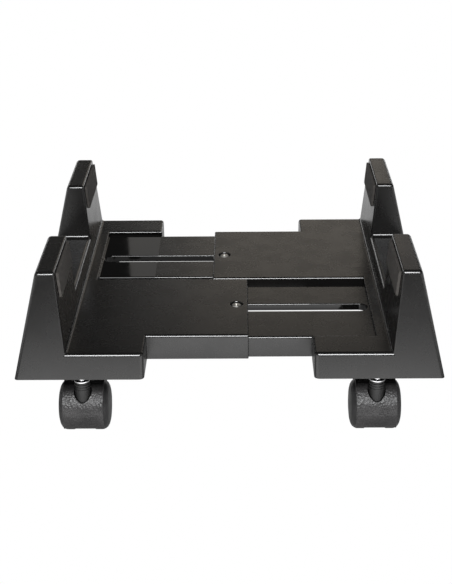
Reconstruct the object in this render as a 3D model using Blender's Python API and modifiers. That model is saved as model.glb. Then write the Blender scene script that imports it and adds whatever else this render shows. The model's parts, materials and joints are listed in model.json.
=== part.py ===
"""Rolling stand for a desktop computer case, with an adjustable width.

Two identical plastic halves face each other across the middle, one turned half a turn about
+Z. Each half has a foot with two uprights, a deck finger that lies on top of its neighbour, and
a lower finger with a slot that its neighbour's deck finger covers. A screw through each deck
finger and the slot under it takes a wing nut, which clamps the width. Four casters carry it.

Frame: +Z up, +X towards the right half, -Y towards the front, origin on the floor under the
middle. Units are metres.
"""

from math import atan, cos, pi, radians, sin

import bmesh
import bpy
from mathutils import Matrix, Vector

MM = 0.001

# Heights above the floor
BASE_BOTTOM = 51.8 * MM
DECK = 70.5 * MM
LEDGE = 85.0 * MM
UPRIGHT_TOP = 128.6 * MM

# One half, seen as the left one; every distance is from the middle of the stand
FOOT_OUTER = 149.2 * MM
FOOT_INNER = 59.0 * MM
FOOT_DEPTH = 132.6 * MM
UPRIGHT_OUTER_TOP = 131.1 * MM
UPRIGHT_INNER_TOP = 118.0 * MM
UPRIGHT_END_TOP = 123.0 * MM
UPRIGHT_GAP_TOP = 53.5 * MM
UPRIGHT_GAP_LEDGE = 50.7 * MM
WALL_FOOT = 113.0 * MM
WALL = 2.5 * MM
FINGER_DEPTH = 101.4 * MM
DECK_FINGER_END = 13.7 * MM
LOWER_FINGER_END = 20.0 * MM
RECESS_END = 104.2 * MM
PLAY = 0.5 * MM
EDGE_PLAY = 0.4 * MM
CHANNEL_END = 10.0 * MM
CHANNEL_FLOOR = 58.5 * MM
INNER_SKIRT_BOTTOM = 60.0 * MM
SKIRT_WALL = 2.0 * MM
SLOT_Y = 48.4 * MM
SLOT_HALF_WIDTH = 6.1 * MM
SLOT_OUTER_END = 102.7 * MM
SLOT_INNER_END = 13.2 * MM
SLOT_RIM = 2.0 * MM
SLOT_DEPTH = 7.5 * MM
FILLET = 2.0 * MM

# Clamp screw, washer and wing nut
SCREW_X = 5.0 * MM
SCREW_RADIUS = 2.0 * MM
SCREW_HEAD_RADIUS = 3.6 * MM
SCREW_HEAD_HEIGHT = 2.6 * MM
SCREW_END = 48.5 * MM
POCKET_RADIUS = 4.8 * MM
POCKET_DEPTH = 3.2 * MM
BOSS_RADIUS = 5.6 * MM
BOSS_DEPTH = 8.0 * MM
WASHER_RADIUS = 9.0 * MM
WASHER_THICKNESS = 1.0 * MM
NUT_HUB_RADIUS = 6.5 * MM
NUT_HEIGHT = 6.0 * MM
NUT_SPAN = 30.0 * MM
INSERT_RADIUS = 4.0 * MM
INSERT_HEIGHT = 3.2 * MM
GAP = 0.3 * MM

# Casters
CASTER_X = 104.2 * MM
CASTER_Y = 117.0 * MM
TRAIL = 10.4 * MM
WHEEL_RADIUS = 18.0 * MM
WHEEL_INNER = 7.0 * MM
WHEEL_WIDTH = 11.5 * MM
HOOD_RADIUS = 19.8 * MM
HOOD_WELL = 18.6 * MM
HOOD_HALF_WIDTH = 14.6 * MM
HOOD_LIP = 7.2 * MM
HOOD_LIP_REACH = 16.2 * MM
HOOD_TILT = radians(9.5)
WEB_HALF = 6.4 * MM
NECK_RADIUS = 5.7 * MM
NECK_TOP = 43.1 * MM
STEM_RADIUS = 4.0 * MM
STEM_BORE = 4.35 * MM
STEM_TOP = 66.0 * MM
STEM_FOOT = 32.0 * MM
STEM_COLLAR_RADIUS = 5.8 * MM
AXLE_RADIUS = 2.0 * MM
AXLE_HALF = 13.5 * MM
SOCKET_RADIUS = 7.6 * MM

# Foam pads on the uprights
PAD_LENGTH = 60.0 * MM
PAD_HEIGHT = 18.3 * MM
PAD_THICKNESS = 1.8 * MM
PAD_LOW = 107.7 * MM

WHEEL_STEPS = 24
SMALL_STEPS = 16

UPRIGHT_RISE = UPRIGHT_TOP - BASE_BOTTOM
OUTER_SLOPE = (FOOT_OUTER - UPRIGHT_OUTER_TOP) / UPRIGHT_RISE
END_SLOPE = (FOOT_DEPTH - UPRIGHT_END_TOP) / UPRIGHT_RISE
INNER_SLOPE = (UPRIGHT_INNER_TOP - WALL_FOOT) / (UPRIGHT_TOP - DECK)
GAP_SLOPE = (UPRIGHT_GAP_TOP - UPRIGHT_GAP_LEDGE) / (UPRIGHT_TOP - LEDGE)


def outer_x(z):
    """Distance of the foot's sloping outer face from the middle, at height z."""
    return FOOT_OUTER - OUTER_SLOPE * (z - BASE_BOTTOM)


def end_y(z):
    """Distance of the foot's sloping front or rear face from the middle, at height z."""
    return FOOT_DEPTH - END_SLOPE * (z - BASE_BOTTOM)


def inner_x(z):
    """Distance of the uprights' inner face from the middle, at height z."""
    return WALL_FOOT + INNER_SLOPE * (z - DECK)


def gap_y(z):
    """Distance from the middle of the faces where the two uprights look at each other."""
    return UPRIGHT_GAP_LEDGE + GAP_SLOPE * (z - LEDGE)


# ---------------------------------------------------------------- modelling helpers


def clear_scene():
    for old in list(bpy.data.objects):
        bpy.data.objects.remove(old, do_unlink=True)


def material(name, colour, roughness, metallic=0.0):
    made = bpy.data.materials.new(name)
    made.use_nodes = True
    shader = made.node_tree.nodes["Principled BSDF"]
    shader.inputs["Base Color"].default_value = (*colour, 1.0)
    shader.inputs["Roughness"].default_value = roughness
    shader.inputs["Metallic"].default_value = metallic
    return made


def new_object(name, mesh):
    made = bpy.data.objects.new(name, mesh)
    bpy.context.scene.collection.objects.link(made)
    return made


def mesh_object(name, bm):
    mesh = bpy.data.meshes.new(name)
    bm.to_mesh(mesh)
    bm.free()
    return new_object(name, mesh)


def tapered_box(low, low_rect, high, high_rect, fillet=0.0):
    """A box whose rectangle (x0, x1, y0, y1) changes from the one at low to the one at high."""
    bm = bmesh.new()
    bmesh.ops.create_cube(bm, size=2.0)
    for vert in bm.verts:
        x0, x1, y0, y1 = high_rect if vert.co.z > 0 else low_rect
        vert.co = Vector(
            (
                x1 if vert.co.x > 0 else x0,
                y1 if vert.co.y > 0 else y0,
                high if vert.co.z > 0 else low,
            )
        )
    if fillet:
        above = [edge for edge in bm.edges if max(v.co.z for v in edge.verts) > low]
        bmesh.ops.bevel(bm, geom=above, offset=fillet, segments=2, profile=0.5, affect="EDGES")
    return mesh_object("box", bm)


def box(x0, x1, y0, y1, z0, z1):
    return tapered_box(z0, (x0, x1, y0, y1), z1, (x0, x1, y0, y1))


def rod(radius, start, end, steps=SMALL_STEPS):
    """A cylinder between two points."""
    start, end = Vector(start), Vector(end)
    bm = bmesh.new()
    bmesh.ops.create_cone(
        bm, cap_ends=True, segments=steps, radius1=radius, radius2=radius, depth=(end - start).length
    )
    turn = (end - start).to_track_quat("Z", "Y").to_matrix().to_4x4()
    bm.transform(Matrix.Translation((start + end) / 2) @ turn)
    return mesh_object("rod", bm)


def slot_block(half_width, x0, x1, y, z0, z1):
    """An upright block with half-round ends, from x0 to x1 along X."""
    curve = bpy.data.curves.new("slot", "CURVE")
    curve.dimensions = "2D"
    curve.fill_mode = "BOTH"
    curve.extrude = (z1 - z0) / 2
    outline = curve.splines.new("POLY")
    points = []
    for centre, first in ((x1 - half_width, -pi / 2), (x0 + half_width, pi / 2)):
        for step in range(SMALL_STEPS // 2 + 1):
            angle = first + pi * step / (SMALL_STEPS // 2)
            points.append((centre + half_width * cos(angle), y + half_width * sin(angle)))
    outline.points.add(len(points) - 1)
    for point, (px, py) in zip(outline.points, points):
        point.co = (px, py, 0.0, 1.0)
    outline.use_cyclic_u = True
    guide = new_object("slot", curve)
    guide.location.z = (z0 + z1) / 2
    return baked(guide)


def baked(source):
    """A mesh object with the evaluated shape of source in world space; source is removed."""
    bpy.context.view_layer.update()
    graph = bpy.context.evaluated_depsgraph_get()
    mesh = bpy.data.meshes.new_from_object(source.evaluated_get(graph))
    mesh.transform(source.matrix_world)
    made = new_object(source.name, mesh)
    bpy.data.objects.remove(source, do_unlink=True)
    bm = bmesh.new()
    bm.from_mesh(mesh)
    bmesh.ops.remove_doubles(bm, verts=bm.verts, dist=0.00001)
    bm.to_mesh(mesh)
    bm.free()
    return made


def combine(base, others, operation):
    """base joined with, or cut by, each of the others, which are used up."""
    for other in others:
        step = base.modifiers.new(operation.lower(), "BOOLEAN")
        step.operation = operation
        step.object = other
    result = baked(base)
    for other in others:
        bpy.data.objects.remove(other, do_unlink=True)
    return result


def turned(name, profile, steps, closed=False):
    """A turned shape about Z from (radius, height) points that run down its outer side."""
    bm = bmesh.new()
    verts = [bm.verts.new((radius, 0.0, height)) for radius, height in profile]
    for first, second in zip(verts, verts[1:]):
        bm.edges.new((first, second))
    if closed:
        bm.edges.new((verts[-1], verts[0]))
    shape = mesh_object(name, bm)
    screw = shape.modifiers.new("screw", "SCREW")
    screw.steps = screw.render_steps = steps
    screw.use_merge_vertices = True
    screw.merge_threshold = 0.00001
    return baked(shape)


def ring(name, inner, outer, low, high, steps=SMALL_STEPS):
    return turned(name, [(outer, high), (outer, low), (inner, low), (inner, high)], steps, closed=True)


def place(name, source, collection, surface, location=(0, 0, 0), turn=0.0, parent=None):
    """Names a finished piece, smooths its round faces and puts it where it belongs."""
    made = bpy.data.objects.new(name, source.data)
    collection.objects.link(made)
    if not made.data.materials:
        made.data.materials.append(surface)
        made.data.shade_smooth()
        made.data.set_sharp_from_angle(angle=radians(32))
    made.location = location
    made.rotation_euler.z = turn
    made.parent = parent
    return made


# ---------------------------------------------------------------- base half


def foot_form(inset, low, reach):
    """The left half's foot with its side wall and two uprights, as one solid.

    The inset moves every face inwards: 0 gives the outside, and the wall thickness gives the
    hollow. The form starts at height low, and reach is how far it extends towards the middle.
    """
    high = UPRIGHT_TOP - inset
    form = tapered_box(
        low,
        (-outer_x(low) + inset, -reach, -end_y(low) + inset, end_y(low) - inset),
        high,
        (-outer_x(high) + inset, -reach, -end_y(high) + inset, end_y(high) - inset),
    )
    over = UPRIGHT_TOP + 10 * MM
    far = 200 * MM
    deck, ledge = DECK - inset, LEDGE - inset
    bay = tapered_box(
        deck, (-inner_x(deck) - inset, 0, -far, far), over, (-inner_x(over) - inset, 0, -far, far)
    )
    saddle = tapered_box(
        ledge,
        (-far, 0, -gap_y(ledge) - inset, gap_y(ledge) + inset),
        over,
        (-far, 0, -gap_y(over) - inset, gap_y(over) + inset),
    )
    return combine(form, [bay, saddle], "DIFFERENCE")


def outer_form():
    """The outside of the left half: foot, side wall, two uprights and the deck finger."""
    finger = box(-FOOT_INNER - 6 * WALL, DECK_FINGER_END, -FINGER_DEPTH, -EDGE_PLAY, BASE_BOTTOM, DECK)
    return combine(foot_form(0.0, BASE_BOTTOM, FOOT_INNER), [finger], "UNION")


def inner_hollows():
    """The space inside the moulding, open underneath, and the recess behind the deck finger."""
    under = BASE_BOTTOM - 2 * WALL
    finger = box(
        -FOOT_INNER - 3 * WALL,
        DECK_FINGER_END + WALL,
        -FINGER_DEPTH + WALL,
        -EDGE_PLAY - SKIRT_WALL,
        under - MM,
        DECK - WALL,
    )
    under_skirt = box(
        -FOOT_INNER + MM,
        DECK_FINGER_END + 2 * WALL,
        -FINGER_DEPTH + 2 * WALL,
        2 * WALL,
        under - 3 * MM,
        INNER_SKIRT_BOTTOM,
    )
    recess = box(
        -RECESS_END,
        LOWER_FINGER_END,
        -EDGE_PLAY,
        FINGER_DEPTH + PLAY,
        under - 2 * MM,
        DECK + WALL,
    )
    return [foot_form(WALL, under, FOOT_INNER + WALL), finger, under_skirt, recess]


def lower_finger():
    """The lower finger with its skirts, ribs and the rim of its slot, on the left half.

    Between it and the deck finger runs a channel, where the other half's inner skirt slides.
    """
    top = DECK - WALL - PLAY
    bottom = top - WALL
    outer = -RECESS_END - WALL
    skirt = FINGER_DEPTH - WALL - PLAY
    gutter = CHANNEL_FLOOR - SKIRT_WALL
    inner, end = -FOOT_INNER - WALL / 2, -RECESS_END - GAP / 2
    near, far = -EDGE_PLAY - WALL, CHANNEL_END + SKIRT_WALL
    plate = box(outer, LOWER_FINGER_END, CHANNEL_END, skirt, bottom, top)
    parts = [
        box(outer, LOWER_FINGER_END, skirt - WALL, skirt, BASE_BOTTOM, top - GAP),
        box(outer, -RECESS_END, near, FINGER_DEPTH + PLAY + WALL, bottom, DECK - GAP),
        box(outer + GAP, LOWER_FINGER_END, CHANNEL_END, far, CHANNEL_FLOOR - GAP, top - 2 * GAP),
        box(outer + 2 * GAP, -FOOT_INNER - GAP, near + GAP, far - GAP, gutter, CHANNEL_FLOOR),
        box(outer + 3 * GAP, end, near + 2 * GAP, far - 2 * GAP, gutter + GAP, DECK - 2 * GAP),
        box(outer + 4 * GAP, inner, near + 3 * GAP, -EDGE_PLAY, gutter + 2 * GAP, DECK - 3 * GAP),
        slot_block(
            SLOT_HALF_WIDTH + SLOT_RIM,
            -SLOT_OUTER_END - SLOT_RIM,
            SLOT_INNER_END + SLOT_RIM,
            SLOT_Y,
            top - SLOT_DEPTH,
            top - GAP,
        ),
    ]
    rib_low = BASE_BOTTOM + 2 * WALL
    for rib_y in (SLOT_Y - 28 * MM, SLOT_Y + 28 * MM):
        rib_side = (rib_y - 0.8 * MM, rib_y + 0.8 * MM)
        parts.append(box(outer, LOWER_FINGER_END - WALL, *rib_side, rib_low, top - GAP))
    finger = combine(plate, parts, "UNION")
    opening = slot_block(
        SLOT_HALF_WIDTH, -SLOT_OUTER_END, SLOT_INNER_END, SLOT_Y, BASE_BOTTOM, DECK
    )
    return combine(finger, [opening], "DIFFERENCE")


def inside_walls():
    """Walls and ribs under the foot, with the sockets that take the caster stems."""
    under_deck = DECK - WALL / 2
    outer, inner = -RECESS_END - WALL, -FOOT_INNER - WALL / 2
    parts = [
        box(outer, inner, -FINGER_DEPTH, -FINGER_DEPTH + WALL, BASE_BOTTOM, under_deck),
        box(outer, inner, FINGER_DEPTH + PLAY, FINGER_DEPTH + PLAY + WALL, BASE_BOTTOM, under_deck),
    ]
    rib = 0.8 * MM
    rib_low = BASE_BOTTOM + WALL
    for side in (-1, 1):
        y = side * CASTER_Y
        reach = sorted((side * (FINGER_DEPTH + WALL), side * (end_y(DECK) - WALL / 2)))
        foot, head = (-CASTER_X, y, BASE_BOTTOM + GAP), (-CASTER_X, y, under_deck)
        parts.append(rod(SOCKET_RADIUS, foot, head, WHEEL_STEPS))
        parts.append(box(-CASTER_X - rib, -CASTER_X + rib, *reach, rib_low, under_deck))
        parts.append(box(-outer_x(DECK) + WALL / 2, inner, y - rib, y + rib, rib_low, under_deck))
    return parts


def base_half():
    """One whole half of the base, as the left one."""
    hollow = combine(outer_form(), inner_hollows(), "DIFFERENCE")
    boss = rod(
        BOSS_RADIUS,
        (SCREW_X, -SLOT_Y, DECK - WALL / 2),
        (SCREW_X, -SLOT_Y, DECK - BOSS_DEPTH),
        WHEEL_STEPS,
    )
    whole = combine(hollow, [lower_finger(), *inside_walls(), boss], "UNION")
    above, below = (SCREW_X, -SLOT_Y, DECK + WALL), (SCREW_X, -SLOT_Y, BASE_BOTTOM)
    holes = [
        rod(POCKET_RADIUS, (SCREW_X, -SLOT_Y, DECK - POCKET_DEPTH), above, WHEEL_STEPS),
        rod(SCREW_RADIUS + GAP, below, above),
    ]
    for side in (-1, 1):
        y = side * CASTER_Y
        foot, head = (-CASTER_X, y, BASE_BOTTOM - WALL), (-CASTER_X, y, STEM_TOP + GAP)
        holes.append(rod(STEM_BORE, foot, head))
    return combine(whole, holes, "DIFFERENCE")


# ---------------------------------------------------------------- caster


def caster_hood():
    """Hood over both wheels, with the web between them and the neck for the stem.

    The swivel axis is at the origin and the wheels trail towards +Y.
    """
    axle = Vector((0, TRAIL, WHEEL_RADIUS))
    reach = Vector((HOOD_HALF_WIDTH, 0, 0))
    drum = rod(HOOD_RADIUS, axle - reach, axle + reach, 36)
    neck = rod(NECK_RADIUS, (0, 0, WHEEL_RADIUS + 4 * MM), (0, 0, NECK_TOP), 20)
    cuts = [
        rod(HOOD_WELL, axle + Vector((side * WEB_HALF, 0, 0)), axle + 2 * side * reach, 36)
        for side in (-1, 1)
    ]
    below = box(-2 * reach.x, 2 * reach.x, -60 * MM, 60 * MM, -60 * MM, 0)
    lip = Matrix.Translation((0, TRAIL - HOOD_LIP_REACH, HOOD_LIP))
    below.data.transform(lip @ Matrix.Rotation(HOOD_TILT, 4, "X"))
    cuts.append(below)
    cuts.append(rod(STEM_BORE, (0, 0, STEM_FOOT - GAP), (0, 0, NECK_TOP + WALL), SMALL_STEPS))
    cuts.append(rod(AXLE_RADIUS + GAP, axle - reach, axle + reach, SMALL_STEPS))
    return combine(combine(drum, [neck], "UNION"), cuts, "DIFFERENCE")


def wheel():
    """One wheel about Z, its inner face at 0 and its domed outer face up, with a blind axle bore."""
    flat = 1 / cos(pi / WHEEL_STEPS)
    bore = AXLE_RADIUS + GAP
    profile = [
        (0.0, WHEEL_WIDTH),
        (10.0 * MM, WHEEL_WIDTH - 0.5 * MM),
        (14.6 * MM, WHEEL_WIDTH - 1.3 * MM),
        (16.9 * MM, WHEEL_WIDTH - 3.0 * MM),
        (WHEEL_RADIUS * flat, WHEEL_WIDTH - 5.6 * MM),
        (WHEEL_RADIUS * flat, 0.0),
        (15.6 * MM, 0.0),
        (15.6 * MM, 5.0 * MM),
        (6.0 * MM, 6.0 * MM),
        (6.0 * MM, 0.0),
        (bore, 0.0),
        (bore, AXLE_HALF - WHEEL_INNER + GAP),
        (0.0, AXLE_HALF - WHEEL_INNER + GAP),
    ]
    shape = turned("wheel", profile, WHEEL_STEPS)
    shape.data.transform(Matrix.Rotation(pi / WHEEL_STEPS, 4, "Z"))
    return shape


def stem():
    """Steel pin that stays in the base while the caster turns on its lower end."""
    groove = STEM_RADIUS - 0.8 * MM
    profile = [
        (0.0, STEM_TOP),
        (STEM_RADIUS - 0.8 * MM, STEM_TOP),
        (STEM_RADIUS, STEM_TOP - 0.8 * MM),
        (STEM_RADIUS, STEM_TOP - 2.5 * MM),
        (groove, STEM_TOP - 2.5 * MM),
        (groove, STEM_TOP - 9.0 * MM),
        (STEM_RADIUS, STEM_TOP - 9.0 * MM),
        (STEM_RADIUS, BASE_BOTTOM),
        (STEM_COLLAR_RADIUS, BASE_BOTTOM),
        (STEM_COLLAR_RADIUS, BASE_BOTTOM - 1.6 * MM),
        (STEM_RADIUS, BASE_BOTTOM - 1.6 * MM),
        (STEM_RADIUS, STEM_FOOT),
        (0.0, STEM_FOOT),
    ]
    return turned("stem", profile, SMALL_STEPS)


def grip_ring():
    """Split spring ring in the stem's groove, which holds the stem in its socket."""
    low, high = STEM_TOP - 8.7 * MM, STEM_TOP - 2.8 * MM
    whole = ring("grip", STEM_RADIUS - 0.5 * MM, STEM_RADIUS + 0.05 * MM, low, high)
    slit = box(0, 2 * STEM_RADIUS, -0.7 * MM, 0.7 * MM, STEM_TOP - 12 * MM, STEM_TOP)
    return combine(whole, [slit], "DIFFERENCE")


# ---------------------------------------------------------------- clamp


def clamp_screw():
    """Cheese-head screw with a cross recess; its axis is Z, at its height in the stand."""
    seat = DECK - POCKET_DEPTH + GAP
    head_top = seat + SCREW_HEAD_HEIGHT
    profile = [
        (0.0, head_top),
        (SCREW_HEAD_RADIUS - 0.7 * MM, head_top - 0.15 * MM),
        (SCREW_HEAD_RADIUS, head_top - 0.8 * MM),
        (SCREW_HEAD_RADIUS, seat),
        (SCREW_RADIUS, seat),
        (SCREW_RADIUS, SCREW_END + 0.6 * MM),
        (SCREW_RADIUS - 0.6 * MM, SCREW_END),
        (0.0, SCREW_END),
    ]
    blank = turned("screw", profile, SMALL_STEPS)
    arm, half = 2.1 * MM, 0.45 * MM
    cross = [
        box(-arm, arm, -half, half, head_top - 1.2 * MM, head_top + MM),
        box(-half, half, -arm, arm, head_top - 1.2 * MM, head_top + MM),
    ]
    return combine(blank, cross, "DIFFERENCE")


def wing_nut(top):
    """Plastic wing nut under the washer, with a pocket for its metal insert."""
    hub = rod(NUT_HUB_RADIUS, (0, 0, top - NUT_HEIGHT), (0, 0, top), 20)
    wings = slot_block(1.6 * MM, -NUT_SPAN / 2, NUT_SPAN / 2, 0.0, top - NUT_HEIGHT - MM, top - 1.2 * MM)
    pocket = rod(INSERT_RADIUS + GAP, (0, 0, top - INSERT_HEIGHT), (0, 0, top + MM), 6)
    bore = rod(SCREW_RADIUS + GAP, (0, 0, top - 3 * NUT_HEIGHT), (0, 0, top + MM), SMALL_STEPS)
    return combine(combine(hub, [wings], "UNION"), [pocket, bore], "DIFFERENCE")


def nut_insert(top):
    """Hexagonal metal nut pressed into the wing nut."""
    body = rod(INSERT_RADIUS, (0, 0, top - INSERT_HEIGHT + GAP), (0, 0, top), 6)
    bore = rod(SCREW_RADIUS + GAP, (0, 0, top - 2 * INSERT_HEIGHT), (0, 0, top + MM), SMALL_STEPS)
    return combine(body, [bore], "DIFFERENCE")


# ---------------------------------------------------------------- pads and assembly


def foam_pad():
    """Foam strip on the inner face of the left half's rear upright, tilted to lie on it."""
    tilt = atan(INNER_SLOPE)
    middle = PAD_LOW + PAD_HEIGHT / 2
    strip = box(
        GAP, GAP + PAD_THICKNESS, -PAD_LENGTH / 2, PAD_LENGTH / 2, -PAD_HEIGHT / 2, PAD_HEIGHT / 2
    )
    strip.data.transform(
        Matrix.Translation((-inner_x(middle), 0, middle)) @ Matrix.Rotation(-tilt, 4, "Y")
    )
    return strip


def build():
    clear_scene()
    stand = bpy.data.collections.new("computer_stand")
    bpy.context.scene.collection.children.link(stand)
    shell_plastic = material("shell_plastic", (0.018, 0.018, 0.018), 0.32)
    nylon = material("caster_nylon", (0.025, 0.024, 0.025), 0.55)
    foam = material("foam_pad", (0.02, 0.018, 0.017), 0.9)
    plated = material("plated_steel", (0.75, 0.75, 0.77), 0.15, 1.0)
    zinc = material("zinc_steel", (0.62, 0.61, 0.58), 0.35, 1.0)
    knob = material("knob_plastic", (0.02, 0.02, 0.02), 0.5)

    washer_top = DECK - WALL - PLAY - SLOT_DEPTH - GAP
    washer_low = washer_top - WASHER_THICKNESS
    nut_top = washer_low - GAP
    ring_low = NECK_TOP + GAP
    shapes = {
        "shell": base_half(),
        "pad": foam_pad(),
        "hood": caster_hood(),
        "neck_ring": ring("neck_ring", STEM_BORE, NECK_RADIUS + 0.1 * MM, ring_low, ring_low + MM),
        "axle": rod(AXLE_RADIUS, (-AXLE_HALF, 0, 0), (AXLE_HALF, 0, 0)),
        "wheel": wheel(),
        "stem": stem(),
        "grip_ring": grip_ring(),
        "screw": clamp_screw(),
        "washer": ring("washer", SCREW_RADIUS + GAP, WASHER_RADIUS, washer_low, washer_top, 24),
        "wing_nut": wing_nut(nut_top),
        "insert": nut_insert(nut_top),
    }

    pad_y = (UPRIGHT_GAP_TOP + UPRIGHT_END_TOP) / 2
    for half, turn in (("left", 0.0), ("right", pi)):
        whole = bpy.data.objects.new(half + "_half", None)
        stand.objects.link(whole)
        whole.rotation_euler.z = turn
        place(half + "_base_shell", shapes["shell"], stand, shell_plastic, parent=whole)
        for row, side in (("front", -1), ("rear", 1)):
            here = side if half == "left" else -side
            place(f"{half}_{row}_pad", shapes["pad"], stand, foam, (0, here * pad_y, 0), parent=whole)

    for half, side_x in (("left", -1), ("right", 1)):
        for row, side_y in (("front", -1), ("rear", 1)):
            name = f"{half}_{row}_caster"
            swivel = bpy.data.objects.new(name + "_swivel", None)
            stand.objects.link(swivel)
            swivel.location = (side_x * CASTER_X, side_y * CASTER_Y, 0)
            swivel.rotation_euler.z = 0.0 if side_y < 0 else pi
            place(name + "_stem", shapes["stem"], stand, plated, parent=swivel)
            place(name + "_grip_ring", shapes["grip_ring"], stand, zinc, parent=swivel)
            place(name + "_hood", shapes["hood"], stand, nylon, parent=swivel)
            place(name + "_neck_ring", shapes["neck_ring"], stand, plated, parent=swivel)
            centre = (0, TRAIL, WHEEL_RADIUS)
            place(name + "_axle", shapes["axle"], stand, zinc, centre, parent=swivel)
            for wheel_side, sign in (("left_wheel", -1), ("right_wheel", 1)):
                local = sign if side_y < 0 else -sign
                one = place(
                    f"{name}_{wheel_side}",
                    shapes["wheel"],
                    stand,
                    nylon,
                    (local * WHEEL_INNER, TRAIL, WHEEL_RADIUS),
                    parent=swivel,
                )
                one.rotation_euler.y = local * pi / 2

    for row, side in (("front", -1), ("rear", 1)):
        at = (-side * SCREW_X, side * SLOT_Y, 0)
        turn = 0.0 if side < 0 else pi
        place(row + "_clamp_screw", shapes["screw"], stand, zinc, at, turn)
        place(row + "_clamp_washer", shapes["washer"], stand, zinc, at, turn)
        place(row + "_wing_nut", shapes["wing_nut"], stand, knob, at, turn)
        place(row + "_wing_nut_insert", shapes["insert"], stand, zinc, at, turn)

    for source in shapes.values():
        bpy.data.objects.remove(source, do_unlink=True)


build()
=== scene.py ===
"""Looks for the rolling computer-case stand: filleted mouldings, grained casters, plated steel, and a studio."""

import json
from math import atan, cos, pi, radians, sin

import bmesh
import bpy
from mathutils import Matrix, Vector

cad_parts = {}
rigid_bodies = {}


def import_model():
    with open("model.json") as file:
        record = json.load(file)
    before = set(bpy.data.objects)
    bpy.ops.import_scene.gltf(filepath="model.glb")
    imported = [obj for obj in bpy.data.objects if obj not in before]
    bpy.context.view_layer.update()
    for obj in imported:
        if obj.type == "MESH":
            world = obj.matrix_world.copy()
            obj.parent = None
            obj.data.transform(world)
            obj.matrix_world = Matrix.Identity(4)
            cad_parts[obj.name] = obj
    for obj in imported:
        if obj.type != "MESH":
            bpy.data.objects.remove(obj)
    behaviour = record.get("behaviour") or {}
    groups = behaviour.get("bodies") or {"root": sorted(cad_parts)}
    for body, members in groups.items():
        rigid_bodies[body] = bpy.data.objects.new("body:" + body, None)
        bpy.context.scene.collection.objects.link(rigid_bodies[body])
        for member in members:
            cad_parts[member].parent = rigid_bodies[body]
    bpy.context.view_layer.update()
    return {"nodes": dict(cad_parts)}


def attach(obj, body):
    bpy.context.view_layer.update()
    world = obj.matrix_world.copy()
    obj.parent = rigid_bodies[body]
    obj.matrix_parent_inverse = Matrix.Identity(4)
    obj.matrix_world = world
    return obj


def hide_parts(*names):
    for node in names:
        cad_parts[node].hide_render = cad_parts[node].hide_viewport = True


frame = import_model()
MM = 0.001

# ---------------------------------------------------------------- sizes, in millimetres
# They describe the left half. The right half is the same moulding turned half a turn about Z.
BASE, DECK, LEDGE, TOP = 51.8, 70.5, 85.0, 128.6  # heights: rim of the foot, deck, side ledge, uprights
WALL = 2.5
PLATE = DECK - 3.0  # top of the lower finger
FOOT_OUTER, FOOT_INNER, FOOT_END = 149.2, 59.0, 132.6
TOP_OUTER, TOP_INNER, TOP_END, TOP_GAP, LEDGE_GAP, WALL_FOOT = 131.1, 118.0, 123.0, 53.5, 50.7, 113.0
FINGER, FINGER_X, LOWER_X, RECESS_X = 101.4, 13.7, 20.0, 104.2
POCKET_END = FINGER + 0.5
SKIRT = 98.4
PLAY_Y, POLISH_END = 0.4, 59.6  # half the play between the deck fingers; where the pocket's gloss stops
CHANNEL, CHANNEL_FLOOR, FLANGE, SKIRT_LOW = 10.0, 58.5, 2.0, 60.0
SLOT_Y, SLOT_HALF, SLOT_OUT, SLOT_IN = 48.4, 6.1, 102.7, 13.2
SCREW_X = 5.0
HEAD_DEPTH = 3.2  # of the counterbore that takes the screw's head
CASTER_X, CASTER_Y, TRAIL, WHEEL_R = 104.2, 117.0, 10.4, 18.0
SOCKET_TOP = 66.3
PAD_Z = 116.85
PAD_LENGTH, PAD_HEIGHT, PAD_THICK = 60.0, 18.3, 1.8
WIDEST_FILLET = 4.0
MERGE = 0.002  # vertices closer than this after a Boolean are one


def outer_x(z):
    return FOOT_OUTER - (FOOT_OUTER - TOP_OUTER) * (z - BASE) / (TOP - BASE)


def end_y(z):
    return FOOT_END - (FOOT_END - TOP_END) * (z - BASE) / (TOP - BASE)


def inner_x(z):
    return WALL_FOOT + (TOP_INNER - WALL_FOOT) * (z - DECK) / (TOP - DECK)


def gap_y(z):
    return LEDGE_GAP + (TOP_GAP - LEDGE_GAP) * (z - LEDGE) / (TOP - LEDGE)


# ---------------------------------------------------------------- mesh tools (all take millimetres)
def new_object(name, mesh):
    made = bpy.data.objects.new(name, mesh)
    bpy.context.scene.collection.objects.link(made)
    return made


def from_bmesh(bm, name="work"):
    bmesh.ops.recalc_face_normals(bm, faces=bm.faces)
    mesh = bpy.data.meshes.new(name)
    bm.to_mesh(mesh)
    bm.free()
    return new_object(name, mesh)


def remove(*objects):
    for old in objects:
        bpy.data.objects.remove(old, do_unlink=True)


def baked(source):
    """Replaces source by a plain mesh of what its modifiers make."""
    bpy.context.view_layer.update()
    graph = bpy.context.evaluated_depsgraph_get()
    mesh = bpy.data.meshes.new_from_object(source.evaluated_get(graph))
    mesh.transform(source.matrix_world)
    made = new_object(source.name, mesh)
    remove(source)
    return made


def tapered_box(low, low_rect, high, high_rect):
    bm = bmesh.new()
    bmesh.ops.create_cube(bm, size=2.0)
    for vert in bm.verts:
        x0, x1, y0, y1 = high_rect if vert.co.z > 0 else low_rect
        vert.co = Vector(
            (x1 if vert.co.x > 0 else x0, y1 if vert.co.y > 0 else y0, high if vert.co.z > 0 else low)
        )
    return from_bmesh(bm)


def box(x0, x1, y0, y1, z0, z1):
    return tapered_box(z0, (x0, x1, y0, y1), z1, (x0, x1, y0, y1))


def rod(radius, start, end, steps=48):
    start, end = Vector(start), Vector(end)
    bm = bmesh.new()
    bmesh.ops.create_cone(
        bm, cap_ends=True, segments=steps, radius1=radius, radius2=radius, depth=(end - start).length
    )
    turn = (end - start).to_track_quat("Z", "Y").to_matrix().to_4x4()
    bm.transform(Matrix.Translation((start + end) / 2) @ turn)
    return from_bmesh(bm)


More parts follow.
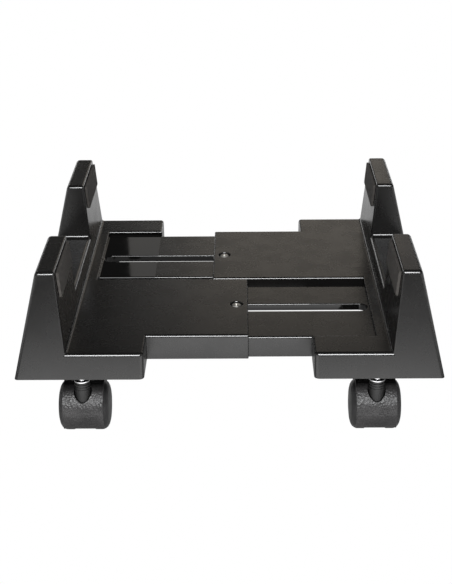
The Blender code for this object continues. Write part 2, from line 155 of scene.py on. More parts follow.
def loft(rings):
    """A closed solid through rings of points, all of the same count."""
    bm = bmesh.new()
    rows = [[bm.verts.new(point) for point in ring] for ring in rings]
    count = len(rows[0])
    for low, high in zip(rows, rows[1:]):
        for i in range(count):
            bm.faces.new((low[i], low[(i + 1) % count], high[(i + 1) % count], high[i]))
    bm.faces.new(rows[0])
    bm.faces.new(rows[-1])
    return from_bmesh(bm)


def stadium(half, x0, x1, y, z, steps=12):
    points = []
    for centre, first in ((x1 - half, -pi / 2), (x0 + half, pi / 2)):
        for step in range(steps + 1):
            angle = first + pi * step / steps
            points.append((centre + half * cos(angle), y + half * sin(angle), z))
    return points


def slot_solid(half, x0, x1, y, z0, z1, flare=0.0):
    """An upright block with half-round ends. With a flare, its top opens in a quarter circle at z1."""
    rings = [stadium(half, x0, x1, y, z0)]
    if flare:
        for step in range(6):
            angle = pi / 2 * step / 5
            grow = flare * (1 - cos(angle))
            rings.append(stadium(half + grow, x0 - grow, x1 + grow, y, z1 + 0.01 - flare + flare * sin(angle)))
        rings.append(stadium(half + flare, x0 - flare, x1 + flare, y, z1 + 4))
    else:
        rings.append(stadium(half, x0, x1, y, z1))
    return loft(rings)


def circle(radius, x, y, z, steps=48):
    return [(x + radius * cos(2 * pi * i / steps), y + radius * sin(2 * pi * i / steps), z) for i in range(steps)]


def combine(base, others, operation):
    for other in others:
        step = base.modifiers.new(operation.lower(), "BOOLEAN")
        step.operation = operation
        step.solver = "EXACT"
        step.object = other
        bpy.context.view_layer.update()
        base = baked(base)
        bm = bmesh.new()
        bm.from_mesh(base.data)
        bmesh.ops.remove_doubles(bm, verts=bm.verts, dist=MERGE)
        bm.to_mesh(base.data)
        bm.free()
    remove(*others)
    return base


def turned(profile, steps=64, closed=False):
    """A turned shape about Z from (radius, height) points."""
    bm = bmesh.new()
    verts = [bm.verts.new((radius, 0.0, height)) for radius, height in profile]
    for first, second in zip(verts, verts[1:]):
        bm.edges.new((first, second))
    if closed:
        bm.edges.new((verts[-1], verts[0]))
    mesh = bpy.data.meshes.new("turned")
    bm.to_mesh(mesh)
    bm.free()
    shape = new_object("turned", mesh)
    screw = shape.modifiers.new("screw", "SCREW")
    screw.steps = screw.render_steps = steps
    screw.use_merge_vertices = True
    screw.merge_threshold = 0.0001
    shape = baked(shape)
    bm = bmesh.new()
    bm.from_mesh(shape.data)
    bmesh.ops.recalc_face_normals(bm, faces=bm.faces)
    bm.to_mesh(shape.data)
    bm.free()
    return shape


def rounded_profile(points, radius_of, steps=4):
    """The (radius, height) points with each corner that radius_of names turned into an arc."""
    out = []
    for i, (r, z) in enumerate(points):
        size = radius_of.get(i, 0.0)
        if not size:
            out.append((r, z))
            continue
        here = Vector((r, z))
        before = (Vector(points[i - 1]) - here).normalized()
        after = (Vector(points[(i + 1) % len(points)]) - here).normalized()
        half = before.angle(after) / 2
        reach = size / max(0.05, abs(sin(half) / cos(half)))
        start, end = here + before * reach, here + after * reach
        for step in range(steps + 1):
            t = step / steps
            out.append(tuple((1 - t) ** 2 * start + 2 * t * (1 - t) * here + t**2 * end))
    return out


# ---------------------------------------------------------------- base mouldings
def foot_form(inset, low, reach):
    """The left half's foot, side wall and uprights. The inset moves every face inwards."""
    high = TOP - inset
    form = tapered_box(
        low,
        (-outer_x(low) + inset, -reach, -end_y(low) + inset, end_y(low) - inset),
        high,
        (-outer_x(high) + inset, -reach, -end_y(high) + inset, end_y(high) - inset),
    )
    over, far = TOP + 10, 200
    deck, ledge = DECK - inset, LEDGE - inset
    bay = tapered_box(
        deck, (-inner_x(deck) - inset, 0, -far, far), over, (-inner_x(over) - inset, 0, -far, far)
    )
    saddle = tapered_box(
        ledge,
        (-far, 0, -gap_y(ledge) - inset, gap_y(ledge) + inset),
        over,
        (-far, 0, -gap_y(over) - inset, gap_y(over) + inset),
    )
    return combine(form, [bay, saddle], "DIFFERENCE")


def fillet_of(edge):
    """The radius that this edge of the moulding is rounded to, from where the edge is."""
    a, b = (vert.co for vert in edge.verts)
    mid = (a + b) / 2
    x, y, z = mid.x, abs(mid.y), mid.z
    if len(edge.link_faces) != 2 or edge.calc_face_angle() < radians(10):
        return 0.0
    along_y = abs(a.y - b.y) > abs(a.x - b.x)
    if max(a.z, b.z) < BASE + 1:  # the rim that faces the table stays sharp
        return 0.0
    if abs(a.z - b.z) > 8:  # upright corners
        if x < -110:
            return 2.4 if x < -128 else 1.7
        if y > 120:
            return 3.6
        return 0.5 if x < -50 else 0.7
    if z > TOP - 2:  # round the tops of the uprights
        return 1.3 if along_y and x > -121 else 2.4
    if z > LEDGE - 2:  # the side ledge
        if not along_y:
            return 2.5
        return 3.0 if x > -120 else 2.0
    if z > DECK - 1:  # deck height: foot of the wall, ends of the foot, notch, fingers, pocket
        if x < -110:
            return 2.0
        if y > 120:
            return 2.4
        if -60 < x < -58:
            return 1.8
        if y > FINGER - 1:
            return 2.0 if x > -58 else 1.8
        if y < 1:
            return 1.6
        return 1.2 if x > 0 else 0.8
    if abs(z - PLATE) < 0.6:  # the lower finger
        if along_y:
            return 0.4 if x < 0 else 0.7
        return 1.2 if y < CHANNEL + 1 else 1.6 if y < SKIRT + 1 else 0.5
    return 0.5


def rounded(solid, segments=4):
    """Bevels each edge by its own radius. With six segments the later cuts left open edges."""
    bm = bmesh.new()
    bm.from_mesh(solid.data)
    bmesh.ops.dissolve_limit(bm, angle_limit=radians(0.4), verts=bm.verts, edges=bm.edges)
    layer = bm.edges.layers.float.new("bevel_weight_edge")
    for edge in bm.edges:
        edge[layer] = fillet_of(edge) / WIDEST_FILLET
    bm.to_mesh(solid.data)
    bm.free()
    bevel = solid.modifiers.new("fillets", "BEVEL")
    bevel.limit_method = "WEIGHT"
    bevel.width = WIDEST_FILLET
    bevel.segments = segments
    bevel.profile = 0.5
    bevel.use_clamp_overlap = False
    return baked(solid)


def base_half():
    """One moulding: the filleted outside first, then the hollow, then ribs, slot and bores."""
    foot = foot_form(0.0, BASE, FOOT_INNER)
    pocket = box(-RECESS_X, 0, -PLAY_Y, POCKET_END, PLATE, DECK + 5)
    channel = box(-RECESS_X, 0.5, -PLAY_Y, CHANNEL, CHANNEL_FLOOR, DECK + 6)
    foot = combine(foot, [pocket, channel], "DIFFERENCE")
    deck_finger = box(-FOOT_INNER - 15, FINGER_X, -FINGER, -PLAY_Y, BASE, DECK)
    lower_finger = box(-FOOT_INNER - 14, LOWER_X, CHANNEL, SKIRT, BASE, PLATE)
    solid = rounded(combine(foot, [deck_finger, lower_finger], "UNION"))

    under, ceiling, floor, gutter = BASE - 5, DECK - WALL, PLATE - WALL, CHANNEL_FLOOR - FLANGE
    far = CHANNEL + FLANGE
    block = box(-RECESS_X - WALL, 0, -PLAY_Y - WALL, POCKET_END + WALL, floor, DECK + 5)
    trough = box(-RECESS_X - WALL + 0.3, 0.5, -PLAY_Y - WALL + 0.3, far, gutter, DECK + 6)
    hollow = combine(foot_form(WALL, under, FOOT_INNER + WALL), [block, trough], "DIFFERENCE")
    cuts = [
        hollow,
        box(-FOOT_INNER - 7.5, FINGER_X + 3, -FINGER + WALL, -PLAY_Y - FLANGE, under - 1, ceiling),
        box(-FOOT_INNER + 1, FINGER_X + 4, -4.0, 5.0, under - 2, SKIRT_LOW),
        box(-FOOT_INNER - 8.5, LOWER_X + 3, far, SKIRT - WALL, under - 3, floor),
        box(-FOOT_INNER - 0.2, LOWER_X + 4, CHANNEL - 2, far + 0.5, under - 4, CHANNEL_FLOOR - 0.3),
        box(-FOOT_INNER - 8, -FOOT_INNER + 2, -PLAY_Y, far + 0.4, under - 5, gutter),
        box(-RECESS_X, -FOOT_INNER + 4, SKIRT, POCKET_END, under - 4, DECK + 9),
    ]
    solid = combine(solid, cuts, "DIFFERENCE")

    y, rib = CASTER_Y, 0.8
    deep = DECK - WALL / 2
    added = [
        box(-RECESS_X - WALL, -FOOT_INNER - 1.2, -FINGER, -FINGER + WALL, BASE + 0.2, deep),
        box(-RECESS_X - WALL, -FOOT_INNER - 1.2, POCKET_END, FINGER + 3.0, BASE + 0.2, deep),
        slot_solid(SLOT_HALF + 2, -SLOT_OUT - 2, SLOT_IN + 2, SLOT_Y, PLATE - 5.2, PLATE - 1),
        slot_solid(SLOT_HALF + 1.9, -16.0, SLOT_IN + 1.9, SLOT_Y, PLATE - 7.5, PLATE - 4),
        rod(5.6, (SCREW_X, -SLOT_Y, DECK - 1.2), (SCREW_X, -SLOT_Y, DECK - 8)),
    ]
    for rib_y in (SLOT_Y - 28, SLOT_Y + 28):
        added.append(box(-RECESS_X - WALL, LOWER_X - 2.5, rib_y - rib, rib_y + rib, BASE + 5, PLATE - 1))
    for side in (-1, 1):
        reach = sorted((side * (FINGER + 2.5), side * (end_y(DECK) - 1.2)))
        added.append(rod(7.6, (-CASTER_X, side * y, BASE + 0.3), (-CASTER_X, side * y, deep)))
        added.append(box(-CASTER_X - rib, -CASTER_X + rib, *reach, BASE + 2.5, deep - 0.1))
        across = (-outer_x(DECK) + 1.2, -FOOT_INNER - 1.2)
        added.append(box(*across, side * y - rib, side * y + rib, BASE + 2.4, deep - 0.2))
    solid = combine(solid, added, "UNION")

    counterbore = (
        (4.8, DECK - HEAD_DEPTH), (4.8, DECK - 0.5), (5.0, DECK - 0.15), (5.4, DECK + 0.01), (5.4, DECK + 4),
    )
    head = [circle(radius, SCREW_X, -SLOT_Y, z) for radius, z in counterbore]
    holes = [
        slot_solid(SLOT_HALF, -SLOT_OUT, SLOT_IN, SLOT_Y, BASE - 5, PLATE, flare=1.0),
        loft(head),
        rod(2.3, (SCREW_X, -SLOT_Y, BASE - 5), (SCREW_X, -SLOT_Y, DECK - 2)),
    ]
    for side in (-1, 1):
        holes.append(rod(4.35, (-CASTER_X, side * y, BASE - 5), (-CASTER_X, side * y, SOCKET_TOP)))
    holes.append(box(-POLISH_END - 0.5, -POLISH_END, CHANNEL + 1.5, SKIRT - 0.5, PLATE - 0.25, PLATE + 1))
    solid = combine(solid, holes, "DIFFERENCE")
    # The pocket's polish stops at this line, so the floor is divided there.
    bm = bmesh.new()
    bm.from_mesh(solid.data)
    everything = bm.verts[:] + bm.edges[:] + bm.faces[:]
    bmesh.ops.bisect_plane(bm, geom=everything, plane_co=(-POLISH_END - 0.25, 0, 0), plane_no=(1, 0, 0))
    bm.to_mesh(solid.data)
    bm.free()
    return solid


# ---------------------------------------------------------------- casters
def caster_hood():
    """The hood of a caster whose swivel axis is Z and whose wheels trail towards +Y."""
    axle = Vector((0, TRAIL, WHEEL_R))
    half, radius = 14.6, 19.6
    drum_profile = rounded_profile(
        [(0.0, half), (radius, half), (radius, -half), (0.0, -half)], {1: 0.7, 2: 0.7}, 3
    )
    drum = turned(drum_profile, 96)
    drum.data.transform(Matrix.Translation(axle) @ Matrix.Rotation(pi / 2, 4, "Y"))
    neck = turned(
        [(0.0, 43.1), (5.5, 43.1), (5.5, 42.3), (5.1, 42.1), (5.1, 41.6), (5.6, 41.4), (5.6, 40.4), (5.2, 40.2)]
        + [(5.2, 39.7), (5.6, 39.5), (5.6, 38.5), (5.3, 38.3), (5.3, 37.8), (5.6, 37.6), (5.6, 22.0), (0.0, 22.0)],
        64,
    )
    # A bay for each wheel, the open underside, the bore of the stem and the bore of the axle
    cuts = [
        rod(18.5, axle + Vector((side * 6.4, 0, 0)), axle + Vector((side * 30, 0, 0)), 96) for side in (-1, 1)
    ]
    plane = box(-40, 40, -60, 60, -60, 0)
    plane.data.transform(Matrix.Translation((0, TRAIL - 16.2, 7.2)) @ Matrix.Rotation(radians(9.5), 4, "X"))
    # A ring cut out of the drum round the neck
    core = rod(4.0, (0, 0, 20.0), (0, 0, 70), 64)
    moat = combine(rod(6.5, (0, 0, 27.0), (0, 0, 60), 64), [core], "DIFFERENCE")
    reach = Vector((20, 0, 0))
    cuts += [plane, rod(4.5, (0, 0, 31.7), (0, 0, 60), 48), rod(2.3, axle - reach, axle + reach)]
    drum = combine(drum, [moat], "DIFFERENCE")
    return combine(combine(drum, [neck], "UNION"), cuts, "DIFFERENCE")


def wheel():
    """A wheel about Z, its inner face at 0 and its domed outer side up."""
    dome = [(0.0, 11.5), (4.0, 11.45), (8.0, 11.3), (12.0, 10.9), (14.0, 10.35), (14.25, 10.05), (14.55, 10.15)]
    tread = [(16.2, 9.2), (17.3, 7.8), (17.9, 6.4), (WHEEL_R, 5.2), (WHEEL_R, 0.8), (17.3, 0.0)]
    inside = [(15.6, 0.0), (15.6, 5.0), (6.0, 6.0), (6.0, 0.0), (2.3, 0.0), (2.3, 6.8), (0.0, 6.8)]
    return turned(dome + tread + inside, 96)


def neck_ring():
    points = [(5.8, 44.4), (5.8, 43.4), (4.5, 43.4), (4.5, 44.4)]
    return turned(rounded_profile(points, {0: 0.4, 1: 0.2, 3: 0.3}, 3), 64, closed=True)


def stem():
    """A caster's pin: the knob in the socket, the waist of the grip ring, the collar and the swivel end."""
    socket = [(0.0, 66.0), (3.2, 66.0), (4.0, 65.2), (4.0, 63.5), (3.2, 63.5), (3.2, 57.0), (4.0, 57.0)]
    collar = [(4.0, BASE), (5.8, BASE), (5.8, BASE - 1.6), (4.0, BASE - 1.6)]
    swivel = [(4.0, 32.3), (3.6, 32.0), (0.0, 32.0)]
    return turned(socket + collar + swivel, 48)


# ---------------------------------------------------------------- small pieces
def screw():
    """The clamp screw about Z, with a cross recess in its pan head."""
    seat = DECK - HEAD_DEPTH + 0.3
    head = seat + 2.6
    points = [(0.0, head), (3.0, head - 0.2), (3.6, head - 0.8), (3.6, seat)]
    points += [(2.0, seat), (2.0, 49.1), (1.4, 48.5), (0.0, 48.5)]
    blank = turned(rounded_profile(points, {1: 0.6, 2: 0.3}, 3), 48)
    long, thin, deep = 2.1, 0.45, (head - 1.2, head + 1)
    cross = [box(-long, long, -thin, thin, *deep), box(-thin, thin, -long, long, *deep)]
    return combine(blank, cross, "DIFFERENCE")


def wing_nut(top):
    """A round hub on two wings, with a hexagonal seat for its insert and a clear bore."""
    points = [(0.0, top), (6.5, top), (6.2, top - 6), (0.0, top - 6)]
    hub = turned(rounded_profile(points, {1: 0.5, 2: 0.8}, 4), 48)
    rings = []
    for z, grow in ((top - 7, -0.5), (top - 6.6, -0.1), (top - 6.2, 0.0), (top - 2.0, 0.0), (top - 1.2, -0.5)):
        ring = []
        for i in range(48):
            angle = 2 * pi * i / 48
            reach = abs(cos(angle)) ** 1.5
            ring.append(((15.0 + grow) * cos(angle), (1.5 + 0.9 * reach + grow) * sin(angle), z))
        rings.append(ring)
    cuts = [
        rod(4.3, (0, 0, top - 3.2), (0, 0, top + 1), 6),
        rod(2.3, (0, 0, top - 18), (0, 0, top + 1), 32),
    ]
    return combine(combine(hub, [loft(rings)], "UNION"), cuts, "DIFFERENCE")


def rounded_strip(length, height, thickness, radius=1.2):
    """A flat strip about the origin with round corners and a softened rim on its +X side."""
    bm = bmesh.new()
    bmesh.ops.create_cube(bm, size=1.0)
    bmesh.ops.scale(bm, vec=(thickness, length, height), verts=bm.verts)
    corners = [e for e in bm.edges if abs(e.verts[0].co.x - e.verts[1].co.x) > thickness / 2]
    bmesh.ops.bevel(bm, geom=corners, offset=radius, segments=4, profile=0.5, affect="EDGES")
    front = [e for e in bm.edges if all(v.co.x > thickness / 2 - 0.01 for v in e.verts)]
    rim = [e for e in front if len(e.link_faces) == 2 and e.calc_face_angle() > 0.5]
    bmesh.ops.bevel(bm, geom=rim, offset=0.35, segments=3, profile=0.5, affect="EDGES")
    return from_bmesh(bm)


# ---------------------------------------------------------------- materials
class Nodes:
    """A small wrapper for building a node material."""

    def __init__(self, name, **shader):
        self.material = bpy.data.materials.new(name)
        self.material.use_nodes = True
        self.tree = self.material.node_tree
        self.shader = self.tree.nodes["Principled BSDF"]
        for key, value in shader.items():
            self.shader.inputs[key.replace("_", " ")].default_value = value
        self.coords = self.tree.nodes.new("ShaderNodeTexCoord").outputs["Object"]

    def add(self, kind, **settings):
        node = self.tree.nodes.new(kind)
        for key, value in settings.items():
            if key in node.inputs:
                node.inputs[key].default_value = value
            else:
                setattr(node, key, value)
        return node

    def link(self, output, target):
        self.tree.links.new(output, target)

    def noise(self, scale, detail=3.0, rough=0.5):
        node = self.add("ShaderNodeTexNoise", Scale=scale, Detail=detail, Roughness=rough)
        self.link(self.coords, node.inputs["Vector"])
        return node.outputs["Fac"]

    def cells(self, scale):
        node = self.add("ShaderNodeTexVoronoi", Scale=scale)
        self.link(self.coords, node.inputs["Vector"])
        return node.outputs["Distance"]

    def spread(self, value, low, high, lowest=0.0, highest=1.0):
        node = self.add("ShaderNodeMapRange")
        for index, number in enumerate((lowest, highest, low, high), start=1):
            node.inputs[index].default_value = number
        self.link(value, node.inputs["Value"])
        return node.outputs["Result"]

    def mottled(self, scale, detail, low=0.0, high=1.0, rough=0.5):
        """Noise whose middle part is stretched over low to high."""
        return self.spread(self.noise(scale, detail, rough), low, high, 0.3, 0.7)

    def colour(self, value, low, high):
        node = self.add("ShaderNodeValToRGB")
        node.color_ramp.elements[0].color = (*low, 1)
        node.color_ramp.elements[1].color = (*high, 1)
        self.link(value, node.inputs["Fac"])
        self.link(node.outputs["Color"], self.shader.inputs["Base Color"])

    def bump(self, height, strength, distance, after=None):
        node = self.add("ShaderNodeBump", Strength=strength, Distance=distance)
        self.link(height, node.inputs["Height"])
        if after:
            self.link(after.outputs["Normal"], node.inputs["Normal"])
        self.link(node.outputs["Normal"], self.shader.inputs["Normal"])
        return node


def moulded(name, rough, uneven, grain, dark=1.0):
    """Black moulded plastic: a fine spark grain, faint flow clouds and a slightly uneven gloss."""
    made = Nodes(name, Metallic=0.0, IOR=1.5)
    low, high = (tuple(dark * v for v in rgb) for rgb in ((0.0070, 0.0066, 0.0064), (0.0105, 0.0100, 0.0096)))
    made.colour(made.mottled(22.0, 4.0), low, high)
    made.link(made.mottled(60.0, 5.0, rough - uneven, rough + uneven, 0.6), made.shader.inputs["Roughness"])
    if grain:
        first = made.bump(made.noise(2600.0, 2.0), grain, 0.00003)
        made.bump(made.noise(700.0, 2.0), grain * 0.6, 0.00004, first)
    return made.material


def grained_nylon():
    """The hood's leather-like grain."""
    made = Nodes("caster_hood_nylon", Metallic=0.0, IOR=1.5)
    made.colour(made.mottled(90.0, 4.0), (0.022, 0.0212, 0.0215), (0.052, 0.050, 0.0505))
    made.link(made.mottled(300.0, 3.0, 0.30, 0.46), made.shader.inputs["Roughness"])
    coarse = made.bump(made.cells(650.0), 0.7, 0.00035)
    made.bump(made.noise(1200.0, 3.0), 0.5, 0.0002, coarse)
    return made.material


def smooth_nylon(name, low, high, rough):
    made = Nodes(name, Metallic=0.0, IOR=1.5)
    made.colour(made.mottled(70.0, 4.0), low, high)
    made.link(made.mottled(160.0, 4.0, rough - 0.05, rough + 0.06), made.shader.inputs["Roughness"])
    made.bump(made.noise(1800.0, 2.0), 0.2, 0.00006)
    return made.material


def foam_rubber():
    made = Nodes("pad_foam", Metallic=0.0, IOR=1.4)
    made.colour(made.mottled(400.0, 5.0), (0.050, 0.046, 0.042), (0.085, 0.078, 0.072))
    made.link(made.mottled(900.0, 2.0, 0.8, 0.95), made.shader.inputs["Roughness"])
    first = made.bump(made.cells(1300.0), 0.6, 0.00025)
    made.bump(made.noise(2500.0, 3.0), 0.5, 0.0002, first)
    return made.material


def metal(name, low, high, rough, scratches=0.0):
    made = Nodes(name, Metallic=1.0)
    made.colour(made.mottled(120.0, 5.0), low, high)
    made.link(made.mottled(500.0, 4.0, rough * 0.7, rough * 1.3), made.shader.inputs["Roughness"])
    if scratches:
        stretched = made.add("ShaderNodeMapping")
        stretched.inputs["Scale"].default_value = (1.0, 1.0, 14.0)
        made.link(made.coords, stretched.inputs["Vector"])
        noise = made.add("ShaderNodeTexNoise", Scale=400.0, Detail=3.0)
        made.link(stretched.outputs["Vector"], noise.inputs["Vector"])
        made.bump(noise.outputs["Fac"], scratches, 0.00005)
    return made.material


satin = moulded("shell_satin", 0.27, 0.03, 0.12)
# Glossier and also half the satin's colour: painted shade in the pocket and the slot.
polished = moulded("shell_polished", 0.045, 0.015, 0.0, 0.5)
# The rounded edges reflect more than the plastic would, to give the edge highlights their strength: a painted
# highlight on the upper fillets.
painted_edge_highlight = moulded("shell_edge_wear", 0.20, 0.03, 0.08)
painted_edge_highlight.node_tree.nodes["Principled BSDF"].inputs["IOR"].default_value = 1.8
hood_grain = grained_nylon()
neck_smooth = smooth_nylon("caster_neck_nylon", (0.010, 0.010, 0.010), (0.015, 0.0148, 0.0148), 0.34)
wheel_black = smooth_nylon("caster_wheel_nylon", (0.018, 0.0178, 0.018), (0.030, 0.0292, 0.030), 0.40)
knob = smooth_nylon("knob_plastic", (0.016, 0.016, 0.016), (0.028, 0.028, 0.028), 0.45)
foam = foam_rubber()
chrome = metal("bright_plating", (0.70, 0.70, 0.71), (0.80, 0.80, 0.81), 0.12)
zinc = metal("zinc_plating", (0.68, 0.67, 0.64), (0.86, 0.85, 0.82), 0.46, 0.3)


# ---------------------------------------------------------------- putting pieces in place
def finished(shape, *materials, which=None, angle=28):
    """Turns a millimetre shape into a shaded mesh in metres. which(face) picks the material."""
    mesh = shape.data
    mesh.transform(Matrix.Scale(MM, 4))
    mesh.materials.clear()
    for one in materials:
        mesh.materials.append(one)
    for face in mesh.polygons:
        face.material_index = which(face) if which else 0
    mesh.shade_smooth()
    mesh.set_sharp_from_angle(angle=radians(angle))
    even = shape.modifiers.new("normals", "WEIGHTED_NORMAL")
    even.keep_sharp = True
    even.mode = "FACE_AREA"
    even.weight = 60
    return baked(shape).data


def put(name, mesh, node, body, matrix):
    """Shows mesh at matrix in place of the CAD node of that name."""
    made = new_object(name, mesh.copy())
    made.data.transform(matrix)
    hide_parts(node)
    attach(made, body)
    return made


SATIN, POLISHED, EDGE = 0, 1, 2  # the order in which a shell's materials are given
FLAT_ENOUGH = cos(radians(14.5))


def in_slot(face):
    x, y, z = (value / MM for value in face.center)
    along = -SLOT_OUT - 0.1 < x < SLOT_IN + 0.1
    return along and abs(y - SLOT_Y) < SLOT_HALF + 0.1 and PLATE - 9 < z < PLATE - 0.5


def shell_finish(face):
    """The pocket and the slot are polished and painted darker as shade, rounded upper edges get the edge finish
    that paints their highlights, and the rest is satin.
    """
    x, y, z = (value / MM for value in face.center)
    inside = -RECESS_X - 0.2 < x < -POLISH_END and -0.6 < y < FINGER + 0.8 and PLATE - 12 < z < DECK - 0.8
    if inside or in_slot(face):
        return POLISHED
    fillet = max(abs(value) for value in face.normal) < FLAT_ENOUGH and face.normal.z > 0.3
    outer_top = face.normal.x < -0.3 and x < -125
    return EDGE if fillet and not outer_top else SATIN


def hood_finish(face):
    """The neck that stands on the hood is smooth, the rest is grained."""
    centre = face.center
    neck = abs(centre.x) < 0.0062 and centre.y < TRAIL * MM and Vector(centre.xy).length < 0.0061
    return 1 if neck else 0


shell = finished(base_half(), satin, polished, painted_edge_highlight, which=shell_finish)
# The same moulding for the right half, whose pocket floor is satin like its plate, without the left pocket's
# painted shade. That is a guess.
satin_shell = shell.copy()
for face in satin_shell.polygons:
    if face.material_index == POLISHED and not in_slot(face):
        face.material_index = SATIN
pad_mesh = finished(rounded_strip(PAD_LENGTH, PAD_HEIGHT, PAD_THICK), foam)
hood = finished(caster_hood(), hood_grain, neck_smooth, which=hood_finish)
wheel_mesh = finished(wheel(), wheel_black)
ring_mesh = finished(neck_ring(), chrome)
stem_mesh = finished(stem(), chrome)
screw_mesh = finished(screw(), zinc)
# Under the deck: its wall, the play, the lower finger's rim, a gap, the washer and another gap
nut_top = DECK - WALL - 0.5 - 7.5 - 0.3 - 1.0 - 0.3
nut_mesh = finished(wing_nut(nut_top), knob)

HALF_TURN = Matrix.Rotation(pi, 4, "Z")
tilt = atan((TOP_INNER - WALL_FOOT) / (TOP - DECK))
for half, turn in (("left", Matrix.Identity(4)), ("right", HALF_TURN)):
    body = half + "_base"
    own = shell if half == "left" else satin_shell
    put(half + "_base_moulding", own, half + "_base_shell", body, turn)
    for row, side in (("front", -1), ("rear", 1)):
        here = side if half == "left" else -side
        lie = Matrix.Translation(Vector((-inner_x(PAD_Z), here * (TOP_GAP + TOP_END) / 2, PAD_Z)) * MM)
        lie = turn @ lie @ Matrix.Rotation(-tilt, 4, "Y") @ Matrix.Translation(Vector((1.2, 0, 0)) * MM)
        pad = put(f"{half}_{row}_foam_pad", pad_mesh, f"{half}_{row}_pad", body, lie)

for half, side_x in (("left", -1), ("right", 1)):
    for row, side_y in (("front", -1), ("rear", 1)):
        name = f"{half}_{row}_caster"
        at = Matrix.Translation(Vector((side_x * CASTER_X, side_y * CASTER_Y, 0)) * MM)
        at = at @ (Matrix.Identity(4) if side_y < 0 else HALF_TURN)
        put(name + "_stem_pin", stem_mesh, name + "_stem", half + "_base", at)
        put(name + "_hood_shell", hood, name + "_hood", name + "_swivel_body", at)
        put(name + "_collar", ring_mesh, name + "_neck_ring", name + "_swivel_body", at)
        for label, sign in (("left", -1), ("right", 1)):
            local = sign if side_y < 0 else -sign
            lie = at @ Matrix.Translation(Vector((local * 7.0, TRAIL, WHEEL_R)) * MM)
            lie = lie @ Matrix.Rotation(local * pi / 2, 4, "Y")
            put(
                f"{name}_{label}_disc", wheel_mesh, f"{name}_{label}_wheel",
                f"{name}_{label}_wheel_body", lie,
            )

for row, side in (("front", -1), ("rear", 1)):
    at = Matrix.Identity(4) if side < 0 else HALF_TURN
    owner = "left_base" if side < 0 else "right_base"
    centre = Matrix.Translation(Vector((SCREW_X, -SLOT_Y, 0)) * MM)
    put(row + "_screw", screw_mesh, row + "_clamp_screw", owner, at @ centre)
    put(row + "_knob", nut_mesh, row + "_wing_nut", row + "_wing_nut_body", at @ centre)

# The CAD pieces that nothing replaces are small inner ones, and are shown as plated steel.
for node in frame["nodes"].values():
    if not node.hide_render:
        node.data.materials.clear()
        node.data.materials.append(zinc)
        node.data.shade_smooth()
        node.data.set_sharp_from_angle(angle=radians(35))
remove(*[o for o in bpy.data.objects if o.name.startswith(("turned", "work")) and o.parent is None])


# ---------------------------------------------------------------- studio
def card(name, centre, size, aim, strength, colour=(1, 1, 1)):
    """A soft box: an area light that faces aim."""
    data = bpy.data.lights.new(name, "AREA")
    data.shape = "RECTANGLE"
    data.size, data.size_y = size
    data.energy = strength * size[0] * size[1]
    data.color = colour
    made = bpy.data.objects.new(name, data)
    bpy.context.scene.collection.objects.link(made)
    made.location = centre
    made.visible_camera = False
    made.rotation_euler = (Vector(aim) - Vector(centre)).to_track_quat("-Z", "Y").to_euler()
    return made


# How bright the table is in reflections, against the distance behind the middle in metres; the low stretch from
# -0.175 to 0.20 is a painted shadow under the stand. The camera itself sees the table at an even 1.0. Both this
# and the cards below are tuned for the front view.
FLOOR_LIGHT = (
    (-1.15, 0.05), (-0.93, 0.10), (-0.61, 0.50), (-0.47, 1.10), (-0.38, 2.9), (-0.21, 2.8),
    (-0.175, 0.6), (-0.10, 0.35), (0.20, 0.42), (0.50, 0.9), (1.19, 0.9),
)
FLOOR_REACH = 1.2  # metres either way that FLOOR_LIGHT covers
FLOOR_SCALE = 3.0  # its ramp holds values up to 1, so they are divided by this and multiplied back
SEEN, AROUND = 1.0, 0.03  # the backdrop to the camera, and what the surroundings add to reflections


class Glow:
    """A node tree that ends in one light source and knows camera rays from all others."""

    def __init__(self, tree, source, output):
        self.tree = tree
        tree.nodes.clear()
        path = tree.nodes.new("ShaderNodeLightPath")
        self.glow = tree.nodes.new(source)
        self.mix = tree.nodes.new("ShaderNodeMix")
        self.mix.data_type = "FLOAT"
        self.mix.inputs["B"].default_value = SEEN
        tree.links.new(path.outputs["Is Camera Ray"], self.mix.inputs["Factor"])
        tree.links.new(self.mix.outputs["Result"], self.glow.inputs["Strength"])
        tree.links.new(self.glow.outputs[0], tree.nodes.new(output).inputs["Surface"])

    def remap(self, value, numbers, smooth=True):
        node = self.tree.nodes.new("ShaderNodeMapRange")
        node.interpolation_type = "SMOOTHSTEP" if smooth else "LINEAR"
        for index, number in enumerate(numbers, start=1):
            node.inputs[index].default_value = number
        self.tree.links.new(value, node.inputs["Value"])
        return node.outputs["Result"]

    def math(self, operation, *values):
        node = self.tree.nodes.new("ShaderNodeMath")
        node.operation = operation
        for index, value in enumerate(values):
            self.tree.links.new(value, node.inputs[index])
        return node.outputs[0]


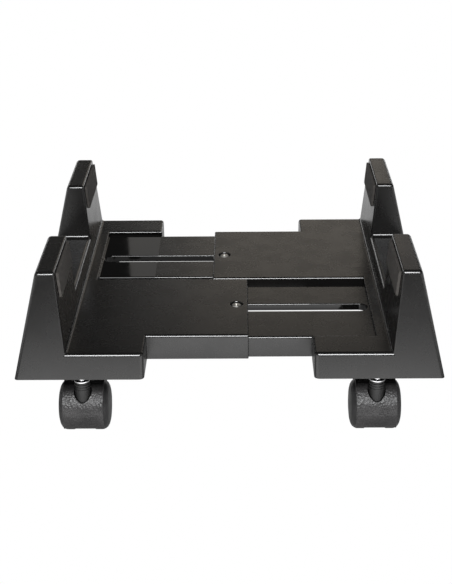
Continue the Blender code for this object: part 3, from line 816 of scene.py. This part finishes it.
def studio():
    bm = bmesh.new()
    bmesh.ops.create_circle(bm, cap_ends=True, segments=96, radius=6.0)
    floor = from_bmesh(bm, "studio_floor")
    floor.location.z = -0.0006
    made = bpy.data.materials.new("studio_floor")
    made.use_nodes = True
    table = Glow(made.node_tree, "ShaderNodeEmission", "ShaderNodeOutputMaterial")
    nodes, links = table.tree.nodes, table.tree.links
    place = nodes.new("ShaderNodeSeparateXYZ")
    links.new(nodes.new("ShaderNodeNewGeometry").outputs["Position"], place.inputs[0])
    ramp = nodes.new("ShaderNodeValToRGB")
    stops = ramp.color_ramp.elements
    while len(stops) > 1:
        stops.remove(stops[-1])
    stops[0].position = 0.0
    stops[0].color = (0.0, 0.0, 0.0, 1.0)
    for y, light in FLOOR_LIGHT:
        stops.new((y + FLOOR_REACH) / (2 * FLOOR_REACH)).color = (light / FLOOR_SCALE,) * 3 + (1.0,)
    links.new(table.remap(place.outputs["Y"], (-FLOOR_REACH, FLOOR_REACH, 0.0, 1.0), False), ramp.inputs["Fac"])
    aside = table.math("ABSOLUTE", place.outputs["X"])
    near = table.math("MULTIPLY", ramp.outputs["Color"], table.remap(aside, (0.17, 0.32, FLOOR_SCALE, 0.4)))
    far = table.remap(aside, (0.45, 0.75, 0.0, 1.6))
    links.new(table.math("ADD", near, far), table.mix.inputs["A"])
    floor.data.materials.append(made)

    world = bpy.data.worlds.new("studio")
    bpy.context.scene.world = world
    world.use_nodes = True
    Glow(world.node_tree, "ShaderNodeBackground", "ShaderNodeOutputWorld").mix.inputs["A"].default_value = AROUND

    # The deck mirrors the cards behind, the upper fillets the box in front, the outer walls the side panels.
    card("back_panel", (0.15, 1.87, 0.785), (0.50, 0.47), (0.15, 0, 0.785), 2.35, (1.0, 0.91, 0.79))
    card("back_panel_side", (-0.18, 1.87, 0.785), (0.16, 0.47), (-0.18, 0, 0.785), 1.15, (1.0, 0.97, 0.93))
    card("back_left", (-0.50, 1.87, 0.72), (0.26, 0.34), (-0.50, 0, 0.72), 0.5, (1.0, 0.96, 0.92))
    card("back_right", (0.56, 1.87, 0.80), (0.28, 0.50), (0.56, 0, 0.80), 1.9, (1.0, 0.94, 0.90))
    card("back_horizon", (0.0, 2.6, 0.12), (2.4, 0.42), (0, 0, 0.12), 4.0, (1.0, 0.99, 0.97))
    for side in (-1, 1):
        card("side_panel", (side * 2.2, -0.1, 0.80), (1.5, 0.8), (0, -0.1, 0.10), 1.6, (1.0, 0.99, 0.97))
    card("front_box", (0.0, -2.05, 1.78), (1.4, 1.0), (0, 0, 0.05), 46.0, (0.98, 0.99, 1.0))


studio()

# ---------------------------------------------------------------- camera
CAMERA_PLACE = (0.00919, -0.89787, 0.46035)
pitch, yaw, roll = radians(-24.10), radians(-0.80), radians(-0.62)
camera = bpy.data.objects.new("camera", bpy.data.cameras.new("camera"))
bpy.context.scene.collection.objects.link(camera)
forward = Vector((sin(yaw) * cos(pitch), cos(yaw) * cos(pitch), sin(pitch)))
across = Vector((cos(yaw), -sin(yaw), 0.0))
above = across.cross(forward)
right = cos(roll) * across + sin(roll) * above
top = cos(roll) * above - sin(roll) * across
facing = Matrix((right, top, -forward)).transposed().to_4x4()
camera.matrix_world = Matrix.Translation(CAMERA_PLACE) @ facing
camera.data.lens = 77.05
camera.data.sensor_width = 36.0
bpy.context.scene.camera = camera
bpy.context.scene.view_settings.view_transform = "Standard"
